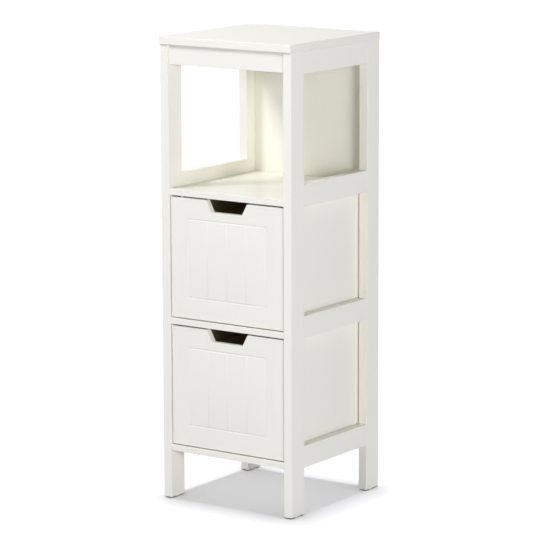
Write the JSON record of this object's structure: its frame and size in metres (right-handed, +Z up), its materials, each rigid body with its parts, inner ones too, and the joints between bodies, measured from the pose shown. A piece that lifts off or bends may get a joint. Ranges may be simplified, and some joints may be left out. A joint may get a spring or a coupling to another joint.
{
  "type": "bathroom storage tower",
  "caption": "Tall narrow storage tower for a bathroom: an open compartment with side windows above drawers with finger notches, in framed sides that stand on legs.",
  "frame": {"origin": "on the floor, under the middle of the top board", "axes": "+Z up, the front and the drawers face -Y, +X is to the right of someone who faces the front"},
  "size_m": [0.3, 0.3, 0.89],
  "materials": {
    "satin_white_lacquer": "satin white lacquer on fibreboard",
    "lacquered_board": "thin clear lacquer on bare fibreboard",
    "beech": "raw fluted dowel",
    "zinc_plated_steel": "bright zinc plate",
    "die_cast_zinc": "as die cast",
    "white_nylon": "moulded"
  },
  "bodies": {
    "carcass": {"top_board": "satin_white_lacquer", "front_left_leg": "satin_white_lacquer", "front_right_leg": "satin_white_lacquer", "rear_left_leg": "satin_white_lacquer", "rear_right_leg": "satin_white_lacquer", "left_bottom_rail": "satin_white_lacquer", "left_middle_rail": "satin_white_lacquer", "left_shelf_rail": "satin_white_lacquer", "left_top_rail": "satin_white_lacquer", "right_bottom_rail": "satin_white_lacquer", "right_middle_rail": "satin_white_lacquer", "right_shelf_rail": "satin_white_lacquer", "right_top_rail": "satin_white_lacquer", "left_lower_panel": "satin_white_lacquer", "left_upper_panel": "satin_white_lacquer", "right_lower_panel": "satin_white_lacquer", "right_upper_panel": "satin_white_lacquer", "front_apron": "satin_white_lacquer", "back_panel": "satin_white_lacquer", "bottom_board": "satin_white_lacquer", "divider_board": "satin_white_lacquer", "open_shelf": "satin_white_lacquer", "left_frame_dowels": "beech", "right_frame_dowels": "beech", "board_dowels": "beech", "board_cams": "die_cast_zinc", "board_cam_bolts": "zinc_plated_steel", "apron_dowels": "beech", "apron_cams": "die_cast_zinc", "apron_cam_bolts": "zinc_plated_steel", "top_dowels": "beech", "top_cams": "die_cast_zinc", "top_cam_bolts": "zinc_plated_steel", "panel_screws": "zinc_plated_steel", "foot_glides": "white_nylon", "shelf_bumper": "white_nylon"},
    "lower_drawer": {"lower_drawer_front": "satin_white_lacquer", "lower_drawer_left_side": "lacquered_board", "lower_drawer_right_side": "lacquered_board", "lower_drawer_back": "lacquered_board", "lower_drawer_bottom": "lacquered_board", "lower_drawer_cams": "die_cast_zinc", "lower_drawer_cam_bolts": "zinc_plated_steel", "lower_drawer_screws": "zinc_plated_steel"},
    "upper_drawer": {"upper_drawer_front": "satin_white_lacquer", "upper_drawer_left_side": "lacquered_board", "upper_drawer_right_side": "lacquered_board", "upper_drawer_back": "lacquered_board", "upper_drawer_bottom": "lacquered_board", "upper_drawer_cams": "die_cast_zinc", "upper_drawer_cam_bolts": "zinc_plated_steel", "upper_drawer_screws": "zinc_plated_steel"}
  },
  "joints": [
    {"name": "lower_drawer_slide", "type": "slide", "parent": "carcass", "child": "lower_drawer", "axis": [0, -1, 0], "range_m": [0, 0.2]},
    {"name": "upper_drawer_slide", "type": "slide", "parent": "carcass", "child": "upper_drawer", "axis": [0, -1, 0], "range_m": [0, 0.2]}
  ]
}
